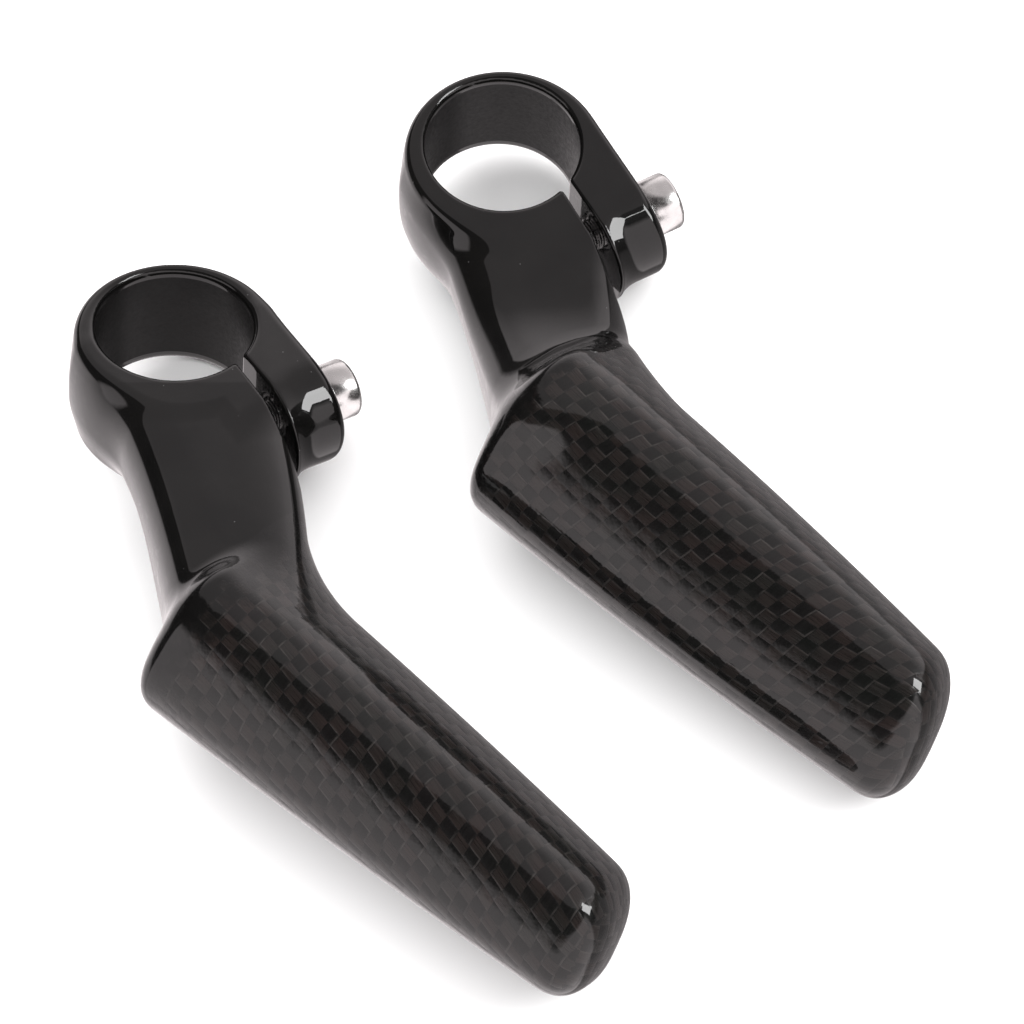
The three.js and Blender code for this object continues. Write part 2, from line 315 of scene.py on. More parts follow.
def grid_values(field, low, step, cells):
    """The field at a grid's points, worked out one by one only near the surface."""
    block = GRID_BLOCK
    coarse = np.stack(np.meshgrid(*[np.arange(c + 1) for c in cells], indexing="ij"), -1)
    rough = field(low + coarse.reshape(-1, 3) * step * block).reshape(coarse.shape[:3])
    fine_shape = [c * block + 1 for c in cells]
    values = rough[:-1, :-1, :-1]
    corners = [rough[i : i + cells[0], j : j + cells[1], k : k + cells[2]]
               for i in (0, 1) for j in (0, 1) for k in (0, 1)]
    near = np.min(np.abs(corners), axis=0) < step * block * GRID_BAND
    for axis in range(3):
        near = near.repeat(block, axis)
        values = values.repeat(block, axis)
    full = np.ones(fine_shape)
    full[:-1, :-1, :-1] = values
    marked = np.zeros(fine_shape, bool)
    for i in (0, 1):
        for j in (0, 1):
            for k in (0, 1):
                marked[i : i + near.shape[0], j : j + near.shape[1], k : k + near.shape[2]] |= near
    where = np.argwhere(marked)
    full[marked] = field(low + where * step)
    return full


def edge_crossings(values, sizes):
    """For each cell, the sum of the places where the surface crosses its edges, and how many."""
    total, count = np.zeros(sizes + [3]), np.zeros(sizes)
    for axis in range(3):
        others = [k for k in range(3) if k != axis]
        for i, j in ((0, 0), (0, 1), (1, 0), (1, 1)):
            start = [slice(None)] * 3
            start[axis] = slice(0, sizes[axis])
            start[others[0]] = slice(i, i + sizes[others[0]])
            start[others[1]] = slice(j, j + sizes[others[1]])
            end = list(start)
            end[axis] = slice(1, sizes[axis] + 1)
            a, b = values[tuple(start)], values[tuple(end)]
            crossed = (a < 0) != (b < 0)
            total[..., axis] += np.where(crossed, a / np.where(crossed, a - b, 1), 0)
            total[..., others[0]] += crossed * i
            total[..., others[1]] += crossed * j
            count += crossed
    return total, count


def quads_across(axis, inside, index, sizes):
    """A quad for each grid edge along an axis that the surface crosses, facing out."""
    others = [k for k in range(3) if k != axis]
    a = [slice(1, n) for n in sizes]
    a[axis] = slice(0, sizes[axis])
    b = list(a)
    b[axis] = slice(1, sizes[axis] + 1)
    first, second = inside[tuple(a)], inside[tuple(b)]
    spots = np.argwhere(first != second) + [0 if k == axis else 1 for k in range(3)]
    corners = []
    for back_i, back_j in ((1, 1), (0, 1), (0, 0), (1, 0)):
        spot = spots.copy()
        spot[:, others[0]] -= back_i
        spot[:, others[1]] -= back_j
        corners.append(index[tuple(spot.T)])
    quads = np.stack(corners, -1)
    outward = first[first != second]
    flip = outward if axis == 1 else ~outward
    quads[flip] = quads[flip][:, ::-1]
    return quads


def onto_surface(field, points, step):
    """Newton's steps towards the zero surface, none longer than half a cell."""
    for _ in range(3):
        slope = gradient(field, points)
        move = field(points)[:, None] * slope / (slope**2).sum(1)[:, None]
        length = np.linalg.norm(move, axis=1)[:, None]
        points = points - move * np.minimum(1, 0.5 * step / np.maximum(length, 1e-9))
    return points


def surface_net(field, low, high, step):
    """Quads on the field's zero surface, with each point moved onto it."""
    low, high = np.array(low, float), np.array(high, float)
    cells = np.ceil((high - low) / (step * GRID_BLOCK)).astype(int)
    values = grid_values(field, low, step, cells)
    sizes = [n - 1 for n in values.shape]
    total, count = edge_crossings(values, sizes)
    used = count > 0
    index = np.full(sizes, -1)
    index[used] = np.arange(used.sum())
    points = low + (np.argwhere(used) + total[used] / count[used][:, None]) * step
    quads = [quads_across(axis, values < 0, index, sizes) for axis in range(3)]
    return onto_surface(field, points, step), np.concatenate(quads)


def trimmed(points, quads, keep_beyond_seam):
    """Only the quads on this side of the seam, and a little more for the cut."""
    direction = unit(GRIP_END - GRIP_START)
    distance = (points - GRIP_START) @ direction - SEAM_AT
    distance = distance if keep_beyond_seam else -distance
    keep = (distance[quads] > -SEAM_MARGIN).all(1)
    quads = quads[keep]
    used = np.unique(quads)
    place = np.full(len(points), -1)
    place[used] = np.arange(len(used))
    return points[used], place[quads]


def cut(points, quads, keep_beyond_seam):
    """One side of the seam between the neck and the grip, closed with a flat cap."""
    bm = bmesh.new()
    for point in points:
        bm.verts.new(point)
    bm.verts.ensure_lookup_table()
    for quad in quads.tolist():
        bm.faces.new([bm.verts[i] for i in quad])
    direction = unit(GRIP_END - GRIP_START)
    place = GRIP_START + SEAM_AT * direction
    everything = bm.verts[:] + bm.edges[:] + bm.faces[:]
    bmesh.ops.bisect_plane(
        bm, geom=everything, dist=1e-5, plane_co=place, plane_no=direction,
        clear_inner=keep_beyond_seam, clear_outer=not keep_beyond_seam,
    )
    rim = [e for e in bm.edges if len(e.link_faces) == 1]
    bmesh.ops.triangle_fill(bm, edges=rim, use_beauty=True)
    bmesh.ops.recalc_face_normals(bm, faces=bm.faces[:])
    return bm


def bar_end_frame(side):
    """The bar end's own frame, in millimetres, as a matrix in the row frame, in metres."""
    mirror = SIDES[side]
    mounts = {m["name"]: m for m in frame["record"]["mounts"]}
    turn = next(j for j in frame["joints"] if j["name"] == f"{side}_bolt_turn")
    bore = Vector(mounts[f"{side}_outer_face"]["axis"]).normalized()
    outward = Vector(turn["axis"]).normalized()
    ear = (outward.cross(bore) * mirror).normalized()
    lean_cos, lean_sin = math.cos(BOLT_LEAN), math.sin(BOLT_LEAN)
    x_axis = outward * lean_cos + ear * lean_sin
    y_axis = outward * lean_sin - ear * lean_cos
    seat = Vector(turn["pos_m"])
    origin = seat - outward * EAR_OUTER * MM - ear * BOLT_OFFSET * MM
    matrix = Matrix((x_axis, y_axis, bore)).transposed().to_4x4()
    matrix = matrix @ Matrix.Scale(MM, 4)
    matrix.translation = origin
    return matrix


def object_from(bm, name, matrix):
    """Puts a mesh drawn in a bar end's frame into its place."""
    bm.transform(matrix)
    if matrix.determinant() < 0:
        bmesh.ops.reverse_faces(bm, faces=bm.faces[:])
    mesh = bpy.data.meshes.new(name)
    bm.to_mesh(mesh)
    bm.free()
    for polygon in mesh.polygons:
        polygon.use_smooth = True
    ob = bpy.data.objects.new(name, mesh)
    bpy.context.scene.collection.objects.link(ob)
    return ob


def local_points(bm):
    return np.array([v.co[:] for v in bm.verts])


def set_normals(mesh, normals, matrix):
    """Shades the mesh with the field's own direction at each point."""
    turned = normals @ np.array(matrix.to_3x3()).T
    turned /= np.linalg.norm(turned, axis=1)[:, None]
    mesh.normals_split_custom_set_from_vertices(turned.tolist())


# ---- turned pieces, about the bolt's axis ---------------------------------------------------


def rings_mesh(rings, segments, closed=False):
    """Faces between rings of [radius, height], where each may be a number or one per segment."""
    bm = bmesh.new()
    turns = np.arange(segments) * 2 * math.pi / segments
    rows = []
    for radius, height in rings:
        radius, height = radius + 0 * turns, height + 0 * turns
        points = np.stack([radius * np.cos(turns), radius * np.sin(turns), height], -1)
        rows.append([bm.verts.new(point) for point in points])
    pairs = list(zip(rows, rows[1:]))
    if closed:
        pairs.append((rows[-1], rows[0]))
    for low, high in pairs:
        for i in range(segments):
            j = (i + 1) % segments
            bm.faces.new([low[i], low[j], high[j], high[i]])
    if not closed:
        for row, height in ((rows[0], rings[0][1]), (rows[-1], rings[-1][1])):
            middle = bm.verts.new((0, 0, float(np.mean(height))))
            for i in range(segments):
                bm.faces.new([row[i], row[(i + 1) % segments], middle])
    bmesh.ops.recalc_face_normals(bm, faces=bm.faces[:])
    return bm


def rounded_corner(radius, height, size, steps=5):
    """Rings round the corner between a side and the flat end above it."""
    rings = []
    for i in range(steps + 1):
        turn = i / steps * math.pi / 2
        inset, rise = size * (1 - math.cos(turn)), size * math.sin(turn)
        rings.append((radius - inset, height - size + rise))
    return rings


def thread_rings(low, high, segments, hand):
    """A helical thread, as rings whose radius rises and falls with turn and height."""
    turns = hand * np.arange(segments) / segments
    steps = int((high - low) / THREAD_PITCH * 8)
    rings = []
    for i in range(steps + 1):
        height = low + (high - low) * i / steps
        wave = np.abs(((height / THREAD_PITCH - turns) % 1) * 2 - 1)
        fade = min(1, i / 8, (steps - i) / 8)
        rings.append((BOLT_RADIUS - THREAD_DEPTH * wave * fade, height))
    return rings


def hex_radius(segments, flats):
    turns = np.arange(segments) * 2 * math.pi / segments
    sixth = math.pi / 3
    return flats / 2 / np.cos((turns % sixth) - sixth / 2)


def bolt_mesh(hand):
    """A socket-head bolt, its seat at height 0 and its shank below. On a mirrored side the
    hand is -1, so that the thread is right-handed on both."""
    end = -BOLT_LENGTH
    tip, chamfer, rise = BOLT_TIP
    hexagon = hex_radius(BOLT_SEGMENTS, HEX_FLATS)
    floor_height = HEAD_HEIGHT - HEX_DEPTH
    rings = [(tip, end), (chamfer, end + rise)]
    rings += thread_rings(end + THREAD_START, THREAD_STOP, BOLT_SEGMENTS, hand)
    rings += [(BOLT_RADIUS, -1.0), (BOLT_RADIUS, -0.25), (BOLT_RADIUS + 0.15, 0.0)]
    rings += [(HEAD_RADIUS - HEAD_BEVEL[0], 0.0), (HEAD_RADIUS, HEAD_BEVEL[1])]
    rings += rounded_corner(HEAD_RADIUS, HEAD_HEIGHT, HEAD_ROUND)
    rings += [(HEX_FLATS / 2 + 0.75, HEAD_HEIGHT), (hexagon + HEX_BEVEL[0], HEAD_HEIGHT)]
    rings += [(hexagon, HEAD_HEIGHT - HEX_BEVEL[1]), (hexagon, floor_height)]
    rings += [(hexagon * 0.5, floor_height - HEX_CONE)]
    return rings_mesh(rings, BOLT_SEGMENTS)


def washer_mesh():
    bevel = WASHER_BEVEL
    rings = [
        (WASHER_HOLE, bevel), (WASHER_HOLE + bevel, 0), (WASHER_RADIUS - bevel, 0),
        (WASHER_RADIUS, bevel), (WASHER_RADIUS, WASHER_THICKNESS - bevel),
        (WASHER_RADIUS - bevel, WASHER_THICKNESS), (WASHER_HOLE + bevel, WASHER_THICKNESS),
        (WASHER_HOLE, WASHER_THICKNESS - bevel),
    ]
    return rings_mesh(rings, WASHER_SEGMENTS, closed=True)


def on_bolt_axis(distance):
    """Turns +Z onto the bolt's axis, in the bar end's frame, at a distance out."""
    outward = Vector((math.cos(BOLT_LEAN), math.sin(BOLT_LEAN), 0))
    ear = Vector((math.sin(BOLT_LEAN), -math.cos(BOLT_LEAN), 0))
    matrix = Matrix((ear, outward.cross(ear), outward)).transposed().to_4x4()
    matrix.translation = outward * distance + ear * BOLT_OFFSET
    return matrix


# ---- materials ------------------------------------------------------------------------------


class Tree:
    """A node tree, built a line at a time."""

    def __init__(self, tree):
        self.tree = tree

    def add(self, kind, *values, **options):
        node = self.tree.nodes.new("ShaderNode" + kind)
        for option, value in options.items():
            setattr(node, option, value)
        for socket, value in zip(node.inputs, values):
            self.put(socket, value)
        return node

    def put(self, socket, value):
        if isinstance(value, bpy.types.NodeSocket):
            self.tree.links.new(value, socket)
        elif value is not None:
            socket.default_value = value

    def math(self, operation, *values):
        return self.add("Math", *values, operation=operation).outputs[0]

    def spread(self, value, low, high, start=0.0, end=1.0):
        """Moves a value from one range to another, held inside it."""
        return self.add("MapRange", value, low, high, start, end).outputs["Result"]


class Nodes(Tree):
    """A material's node tree, around its Principled shader."""

    def __init__(self, name, **settings):
        self.material = bpy.data.materials.new(name)
        self.material.use_nodes = True
        super().__init__(self.material.node_tree)
        self.shader = self.tree.nodes["Principled BSDF"]
        for socket, value in settings.items():
            self.shader.inputs[socket.replace("_", " ")].default_value = value

    def place(self):
        """The point on the surface, in millimetres, in the object's own space."""
        coordinates = self.add("TexCoord").outputs["Object"]
        scaled = self.add("VectorMath", coordinates, operation="SCALE")
        scaled.inputs["Scale"].default_value = 1 / MM
        return scaled.outputs[0]

    def noise(self, vector, scale, detail=2.0, roughness=0.5):
        node = self.add("TexNoise")
        self.put(node.inputs["Vector"], vector)
        node.inputs["Scale"].default_value = scale
        node.inputs["Detail"].default_value = detail
        node.inputs["Roughness"].default_value = roughness
        return node.outputs["Fac"]

    def mix(self, share, a, b, blend_type="MIX"):
        node = self.add("Mix", data_type="RGBA", blend_type=blend_type)
        self.put(node.inputs[0], share)
        self.put(node.inputs[6], a)
        self.put(node.inputs[7], b)
        return node.outputs[2]

    def blend(self, share, a, b):
        node = self.add("Mix", data_type="FLOAT")
        self.put(node.inputs[0], share)
        self.put(node.inputs[2], a)
        self.put(node.inputs[3], b)
        return node.outputs[0]

    def bump(self, height, distance, strength):
        node = self.add("Bump")
        node.inputs["Strength"].default_value = strength
        node.inputs["Distance"].default_value = distance * MM
        self.put(node.inputs["Height"], height)
        return node.outputs[0]

    def to(self, socket, value):
        self.put(self.shader.inputs[socket], value)


def grey(value, warmth=0.0):
    return (value * (1 + warmth), value, value * (1 - warmth), 1)


# The lighter of these two tow colours is painted sheen: the glint of the tows that run one way, put into their
# colour. The darker is the cloth's own.
SHEEN_LIT_TOW = ((0.0092, 0.0066, 0.0060, 1), (0.0066, 0.0062, 0.0056, 1))
DARK_TOW = ((0.0028, 0.0024, 0.0024, 1), (0.0022, 0.0025, 0.0022, 1))
# A painted highlight: the bright colour put on tow edges where they would catch the light.
TOW_EDGE_HIGHLIGHT = (0.036, 0.0325, 0.030, 1)


def dust_specks(nodes, place, size, amount):
    """Small round specks, a few to a square centimetre."""
    cells = nodes.add("TexVoronoi", feature="F1")
    nodes.put(cells.inputs["Vector"], place)
    cells.inputs["Scale"].default_value = size
    near = nodes.math("LESS_THAN", cells.outputs["Distance"], 0.055)
    chosen = nodes.add("SeparateColor", cells.outputs["Color"]).outputs[0]
    return nodes.math("MULTIPLY", near, nodes.math("LESS_THAN", chosen, amount))


def lacquer():
    """Black gloss lacquer, with faint ripples, thin and thick spots, and dust under the clear."""
    nodes = Nodes("black_lacquer", Coat_Weight=1.0, Coat_Roughness=0.025, Coat_IOR=1.5)
    nodes.shader.inputs["Specular IOR Level"].default_value = 0.03
    place = nodes.place()
    dust = dust_specks(nodes, place, 0.55, 0.35)
    cloud = nodes.noise(place, 0.12, 3)
    paint = nodes.mix(nodes.spread(cloud, 0.35, 0.65), grey(0.0022, 0.02), grey(0.0034, 0.05))
    nodes.to("Base Color", nodes.mix(nodes.math("MULTIPLY", dust, 0.5), paint, grey(0.09)))
    nodes.to("Roughness", nodes.spread(nodes.noise(place, 0.6, 4), 0.3, 0.7, 0.25, 0.4))
    ripple = nodes.noise(place, 0.35, 2)
    nodes.to("Coat Normal", nodes.bump(ripple, 0.05, 0.3))
    nodes.to("Normal", nodes.bump(dust, 0.03, 0.5))
    return nodes.material


def satin_bore():
    """The bore's thinner, satin paint over a machined surface."""
    nodes = Nodes("satin_bore", Coat_Weight=0.06, Coat_Roughness=0.3)
    nodes.shader.inputs["Specular IOR Level"].default_value = 0.14
    place = nodes.place()
    grain = nodes.noise(place, 1.6, 5, 0.65)
    cloud = nodes.noise(place, 0.25, 3)
    colour = nodes.mix(nodes.spread(cloud, 0.3, 0.7), grey(0.0022, 0.03), grey(0.0045, 0.03))
    nodes.to("Base Color", colour)
    nodes.to("Roughness", nodes.spread(grain, 0.3, 0.7, 0.32, 0.52))
    nodes.to("Normal", nodes.bump(grain, 0.05, 0.6))
    return nodes.material


def weave_nodes(nodes):
    """Plain-weave tiles: which tow is on top in each, and the place along and across it."""
    cloth = nodes.add("UVMap", uv_map="weave").outputs["UV"]
    waver = nodes.add("TexNoise")
    nodes.put(waver.inputs["Vector"], cloth)
    waver.inputs["Scale"].default_value = 0.18
    waver.inputs["Detail"].default_value = 2
    shifted = nodes.add("VectorMath", waver.outputs["Color"], (0.5, 0.5, 0.5), operation="SUBTRACT")
    scaled = nodes.add("VectorMath", shifted.outputs[0], operation="SCALE")
    scaled.inputs["Scale"].default_value = 0.8
    moved = nodes.add("VectorMath", cloth, scaled.outputs[0], operation="ADD")
    across = nodes.add("SeparateXYZ", moved.outputs[0])
    p, q = across.outputs[0], across.outputs[1]
    tile = nodes.math("ADD", nodes.math("FLOOR", p), nodes.math("FLOOR", q))
    warp = nodes.math("GREATER_THAN", nodes.math("MODULO", nodes.math("ABSOLUTE", tile), 2.0), 0.5)
    from_p = nodes.math("SUBTRACT", nodes.math("FRACT", p), 0.5)
    from_q = nodes.math("SUBTRACT", nodes.math("FRACT", q), 0.5)
    lengthwise = nodes.blend(warp, from_q, from_p)
    crosswise = nodes.blend(warp, from_p, from_q)
    return {"cell": moved.outputs[0], "warp": warp, "lengthwise": lengthwise,
            "crosswise": crosswise}


def tow_fibres(nodes, weave):
    """Fine streaks that run along whichever tow is on top."""
    streaks = []
    for squeeze in ((0.35, 7.0, 1.0), (7.0, 0.35, 1.0)):
        stretched = nodes.add("Mapping", weave["cell"])
        stretched.inputs["Scale"].default_value = squeeze
        streaks.append(nodes.noise(stretched.outputs[0], 1.4, 3, 0.6))
    return nodes.blend(weave["warp"], streaks[1], streaks[0])


def tow_height(nodes, weave):
    """The arch of each tow over the ones that it crosses."""
    arch = nodes.math("MULTIPLY", weave["lengthwise"], weave["lengthwise"])
    side = nodes.math("MULTIPLY", weave["crosswise"], weave["crosswise"])
    drop = nodes.math("ADD", nodes.math("MULTIPLY", arch, 2.4), nodes.math("MULTIPLY", side, 1.2))
    return nodes.math("SUBTRACT", 1.0, drop)


def cloth_colour(nodes, weave, fibre):
    """Two tones of tow, the lighter one a painted sheen for the glint of the tows that run one way, streaked by
    their fibres, with painted highlights on some edges and dark gaps between.
    """
    tint = nodes.spread(nodes.noise(weave["cell"], 0.31, 3), 0.35, 0.65)
    # The warp tows get the lighter colour, a painted sheen.
    cloth = nodes.mix(weave["warp"], nodes.mix(tint, *DARK_TOW), nodes.mix(tint, *SHEEN_LIT_TOW))
    streak = nodes.spread(fibre, 0.25, 0.75, 0.55, 1.5)
    shade = nodes.add("CombineColor", streak, streak, streak).outputs[0]
    streaked = nodes.mix(1.0, cloth, shade, "MULTIPLY")
    # Painted highlights along some of the tows' edges, in patches picked by noise.
    lit_edge = nodes.spread(weave["crosswise"], 0.36, 0.47)
    edge_highlight_patches = nodes.spread(nodes.noise(weave["cell"], 0.7, 2), 0.42, 0.62, 0.05, 0.6)
    edge_highlighted = nodes.mix(nodes.math("MULTIPLY", lit_edge, edge_highlight_patches), streaked, TOW_EDGE_HIGHLIGHT)
    gap = nodes.spread(nodes.math("ABSOLUTE", weave["crosswise"]), 0.44, 0.5, 0.0, 0.45)
    dark_edge = nodes.spread(weave["lengthwise"], -0.36, -0.5, 0.0, 0.6)
    return nodes.mix(nodes.math("MAXIMUM", gap, dark_edge), edge_highlighted, grey(0.0035))


def paint_cover(nodes, place):
    """How much paint covers the cloth, thinning out raggedly."""
    paint = nodes.add("Attribute", attribute_name="paint").outputs["Fac"]
    ragged = nodes.spread(nodes.noise(place, 0.5, 4), 0.3, 0.7, -0.22, 0.22)
    return nodes.spread(nodes.math("ADD", paint, ragged), 0.3, 0.7)


def carbon():
    """Clear-coated plain-weave carbon cloth, painted over where it meets the neck."""
    nodes = Nodes("carbon_weave", Coat_Weight=1.0, Coat_Roughness=0.045, Coat_IOR=1.5)
    nodes.shader.inputs["Specular IOR Level"].default_value = 0.1
    place = nodes.place()
    weave = weave_nodes(nodes)
    fibre = tow_fibres(nodes, weave)
    covered = paint_cover(nodes, place)
    colour = cloth_colour(nodes, weave, fibre)
    nodes.to("Base Color", nodes.mix(covered, colour, grey(0.0018, 0.03)))
    sheen = nodes.spread(fibre, 0.3, 0.7, 0.24, 0.36)
    nodes.to("Roughness", nodes.blend(weave["warp"], 0.42, sheen))
    bare = nodes.math("SUBTRACT", 1.0, covered)
    print_through = nodes.math("MULTIPLY", tow_height(nodes, weave), bare)
    ripple = nodes.math("MULTIPLY", nodes.noise(place, 0.4, 3, 0.6), 0.9)
    coat = nodes.math("ADD", nodes.math("MULTIPLY", print_through, 0.35), ripple)
    nodes.to("Coat Normal", nodes.bump(coat, 0.06, 0.6))
    cloth_height = nodes.math("ADD", print_through, nodes.math("MULTIPLY", fibre, 0.25))
    nodes.to("Normal", nodes.bump(cloth_height, 0.16, 0.8))
    return nodes.material


def metal(name, colour, roughness, rub):
    """Bare or plated steel, with fine rubbed marks round it."""
    nodes = Nodes(name, Metallic=1.0)
    place = nodes.place()
    marks = nodes.noise(place, rub, 5, 0.7)
    cloud = nodes.noise(place, 0.5, 3)
    tint = nodes.spread(cloud, 0.35, 0.65)
    nodes.to("Base Color", nodes.mix(tint, grey(colour * 0.88, 0.01), grey(colour, 0.01)))
    nodes.to("Roughness", nodes.spread(marks, 0.3, 0.7, roughness * 0.7, roughness * 1.5))
    nodes.to("Normal", nodes.bump(marks, 0.01, 0.35))
    return nodes.material


def foam():
    """A pale closed-cell foam, seen only when the grip is cut open."""
    nodes = Nodes("foam_core", Roughness=0.9)
    place = nodes.place()
    cells = nodes.add("TexVoronoi", feature="DISTANCE_TO_EDGE")
    nodes.put(cells.inputs["Vector"], place)
    cells.inputs["Scale"].default_value = 1.5
    wall = nodes.spread(cells.outputs["Distance"], 0.02, 0.15)
    nodes.to("Base Color", nodes.mix(wall, (0.55, 0.47, 0.3, 1), (0.78, 0.7, 0.5, 1)))
    nodes.to("Roughness", nodes.spread(wall, 0, 1, 0.95, 0.8))
    nodes.to("Normal", nodes.bump(wall, 0.2, 0.6))
    return nodes.material


# ---- the grip's cloth coordinates and paint --------------------------------------------------


def arc_table(width, height, count=720):
    """Distance round a section's outline, from the middle of one side."""
    turns = np.linspace(0, 2 * math.pi, count + 1)
    cos, sin = np.cos(turns), np.sin(turns)
    reach = 1 / superellipse(cos, sin, width, height, GRIP_POWER)
    x, y = reach * cos, reach * sin
    return turns, np.concatenate([[0], np.cumsum(np.hypot(np.diff(x), np.diff(y)))])


def cloth_coordinates(local):
    """Millimetres along and round the grip, its girth there, and the place in its section."""
    distance, a, b = grip_place(*local.T)
    turn = np.arctan2(b, a) % (2 * math.pi)
    sections = np.linspace(0, GRIP_LENGTH, CLOTH_SECTIONS)
    arcs, girths = [], []
    for section in sections:
        turns, arc = arc_table(*[float(v) for v in grip_section(section)])
        arcs.append(np.interp(turn, turns, arc))
        girths.append(arc[-1])
    arcs = np.array(arcs)
    last = CLOTH_SECTIONS - 1
    spot = np.clip(distance / GRIP_LENGTH * last, 0, last - 0.001)
    low = spot.astype(int)
    pick = np.arange(len(local))
    round_by = arcs[low, pick] * (1 - spot + low) + arcs[low + 1, pick] * (spot - low)
    return distance, round_by, np.interp(distance, sections, girths), a, b


def whole_numbers(items, name):
    values = np.zeros(len(items), int)
    items.foreach_get(name, values)
    return values


def face_corners(mesh):
    """For the corners of each face in turn: their place in the mesh, their point and their face."""
    points = whole_numbers(mesh.loops, "vertex_index")
    starts = whole_numbers(mesh.polygons, "loop_start")
    totals = whole_numbers(mesh.polygons, "loop_total")
    order = np.concatenate([np.arange(s, s + t) for s, t in zip(starts, totals)])
    return order, points[order], np.repeat(np.arange(len(totals)), totals)


def paint_grip(mesh, distance, side):
    """How much paint covers each point of the grip."""
    start, end = FADE[side]
    paint = 1 - np.clip((distance - start) / (end - start), 0, 1)
    layer = mesh.attributes.new("paint", "FLOAT", "POINT")
    layer.data.foreach_set("value", paint.astype(np.float32))


def dress_grip(mesh, local, side, normals):
    """The paint, and the cloth's coordinates on each face's corners."""
    distance, round_by, girth, a, b = cloth_coordinates(local)
    paint_grip(mesh, distance, side)
    order, corner, face = face_corners(mesh)
    around = round_by[corner]
    furthest = np.full(len(mesh.polygons), -np.inf)
    np.maximum.at(furthest, face, around)
    wraps = around < furthest[face] - girth[corner] / 2
    around = np.where(wraps, around + girth[corner], around)
    tipward = np.zeros(len(mesh.polygons))
    facing = (normals @ unit(GRIP_END - GRIP_START))[corner]
    np.add.at(tipward, face, facing / np.bincount(face)[face])
    on_tip = tipward[face] > TIP_FACING
    along_cloth = np.where(on_tip, a[corner] + TIP_CLOTH_SHIFT[0], distance[corner])
    across_cloth = np.where(on_tip, b[corner] + TIP_CLOTH_SHIFT[1], around)
    cos, sin = math.cos(CLOTH_TURN[side]), math.sin(CLOTH_TURN[side])
    uv = np.zeros((len(mesh.loops), 2), np.float32)
    uv[order, 0] = (along_cloth * cos - across_cloth * sin) / TILE_ALONG
    uv[order, 1] = (along_cloth * sin + across_cloth * cos) / TILE_AROUND
    layer = mesh.uv_layers.new(name="weave")
    layer.data.foreach_set("uv", uv.ravel())


# ---- the two bar ends -----------------------------------------------------------------------


def mark_bore(mesh, local):
    """Gives the inside of the bore its own, satin paint."""
    radius = np.hypot(local[:, 0], local[:, 1])
    inside = (radius < BORE_RADIUS + BORE_MARGIN) & (np.abs(local[:, 2]) < HALF_WIDTH - BORE_GLOSS)
    for polygon in mesh.polygons:
        if all(inside[i] for i in polygon.vertices):
            polygon.material_index = 1


def dress(ob, body, slot, *nodes, materials):
    for material in materials:
        ob.data.materials.append(material)
    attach(ob, body)
    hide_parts(*nodes)


looks = {
    "lacquer": lacquer(),
    "bore": satin_bore(),
    "carbon": carbon(),
    "chrome": metal("chrome", colour=0.88, roughness=0.22, rub=1.2),
    "steel": metal("brushed_steel", colour=0.66, roughness=0.2, rub=2.0),
    "foam": foam(),
}

clamp_net = surface_net(bar_end_field, *CLAMP_BOX, CLAMP_STEP)
grip_net = surface_net(bar_end_field, *GRIP_BOX, GRIP_STEP)

for side in SIDES:
    matrix = bar_end_frame(side)
    body = f"{side}_bar_end"

    bm = cut(*trimmed(*clamp_net, False), False)
    local = local_points(bm)
    clamp = object_from(bm, f"{side}_clamp_and_neck", matrix)
    set_normals(clamp.data, field_normals(local), matrix)
    mark_bore(clamp.data, local)
    finish = [looks["lacquer"], looks["bore"]]
    dress(clamp, body, "clamp_neck", f"{side}_clamp_neck", materials=finish)

    bm = cut(*trimmed(*grip_net, True), True)
    local = local_points(bm)
    grip = object_from(bm, f"{side}_carbon_grip", matrix)
    normals = field_normals(local)
    set_normals(grip.data, normals, matrix)
    dress_grip(grip.data, local, side, normals)
    dress(grip, body, "grip_shell", f"{side}_grip_shell", materials=[looks["carbon"]])

    head = matrix @ on_bolt_axis(EAR_OUTER + WASHER_THICKNESS + 2 * PIECE_GAP)
    bolt = object_from(bolt_mesh(SIDES[side]), f"{side}_socket_bolt", head)
    dress(bolt, f"{side}_bolt", "clamp_bolt", f"{side}_clamp_bolt", materials=[looks["chrome"]])
    seat = matrix @ on_bolt_axis(EAR_OUTER + PIECE_GAP)
    washer = object_from(washer_mesh(), f"{side}_flat_washer", seat)
    dress(washer, f"{side}_washer", "washer", f"{side}_washer", materials=[looks["steel"]])

    for node, look in (("foam_core", "foam"), ("threaded_insert", "steel")):
        data = frame["nodes"][f"{side}_{node}"].data
        data.materials.clear()
        data.materials.append(looks[look])


# ---- studio ---------------------------------------------------------------------------------

VIEW_ELEVATION = math.radians(57.98)
VIEW_ROLL = math.radians(-9.61)
VIEW_DISTANCE = 0.5968
VIEW_LENS = 149.54
VIEW_TARGET = Vector((0.00256, 0.007867, 0))
SOFTBOX = {"direction": (0.354, 0.612, 0.707), "reach": math.radians(51), "edge": 0.03,
           "brightness": 0.52, "low_part": (0.66, 0.25), "low_gain": 0.6}
FRONT = {"x": -0.26, "y": -0.966, "reach": math.radians(78), "edge": 0.08, "top": 0.6,
         "top_edge": 0.05, "brightness": 1.25}
TABLE = {"edge": (0.05, -0.1), "near": 0.3, "far_left": 0.75, "left": (0.1, -0.2),
         "far": (-0.25, 0.15)}
ROOM_BRIGHTNESS = 0.045
ROOM_COLOUR = (1, 0.93, 0.94, 1)
FILL = {"direction": (0, 0.05, 1), "distance": 1.2, "size": (3.4, 3.4), "power": 78}
RIGHT_BOX = {"direction": (0.77, -0.21, 0.6), "distance": 0.9, "size": (0.26, 0.5), "power": 4.6}


def aimed(origin, target):
    return (Vector(target) - Vector(origin)).to_track_quat("-Z", "Y").to_euler()


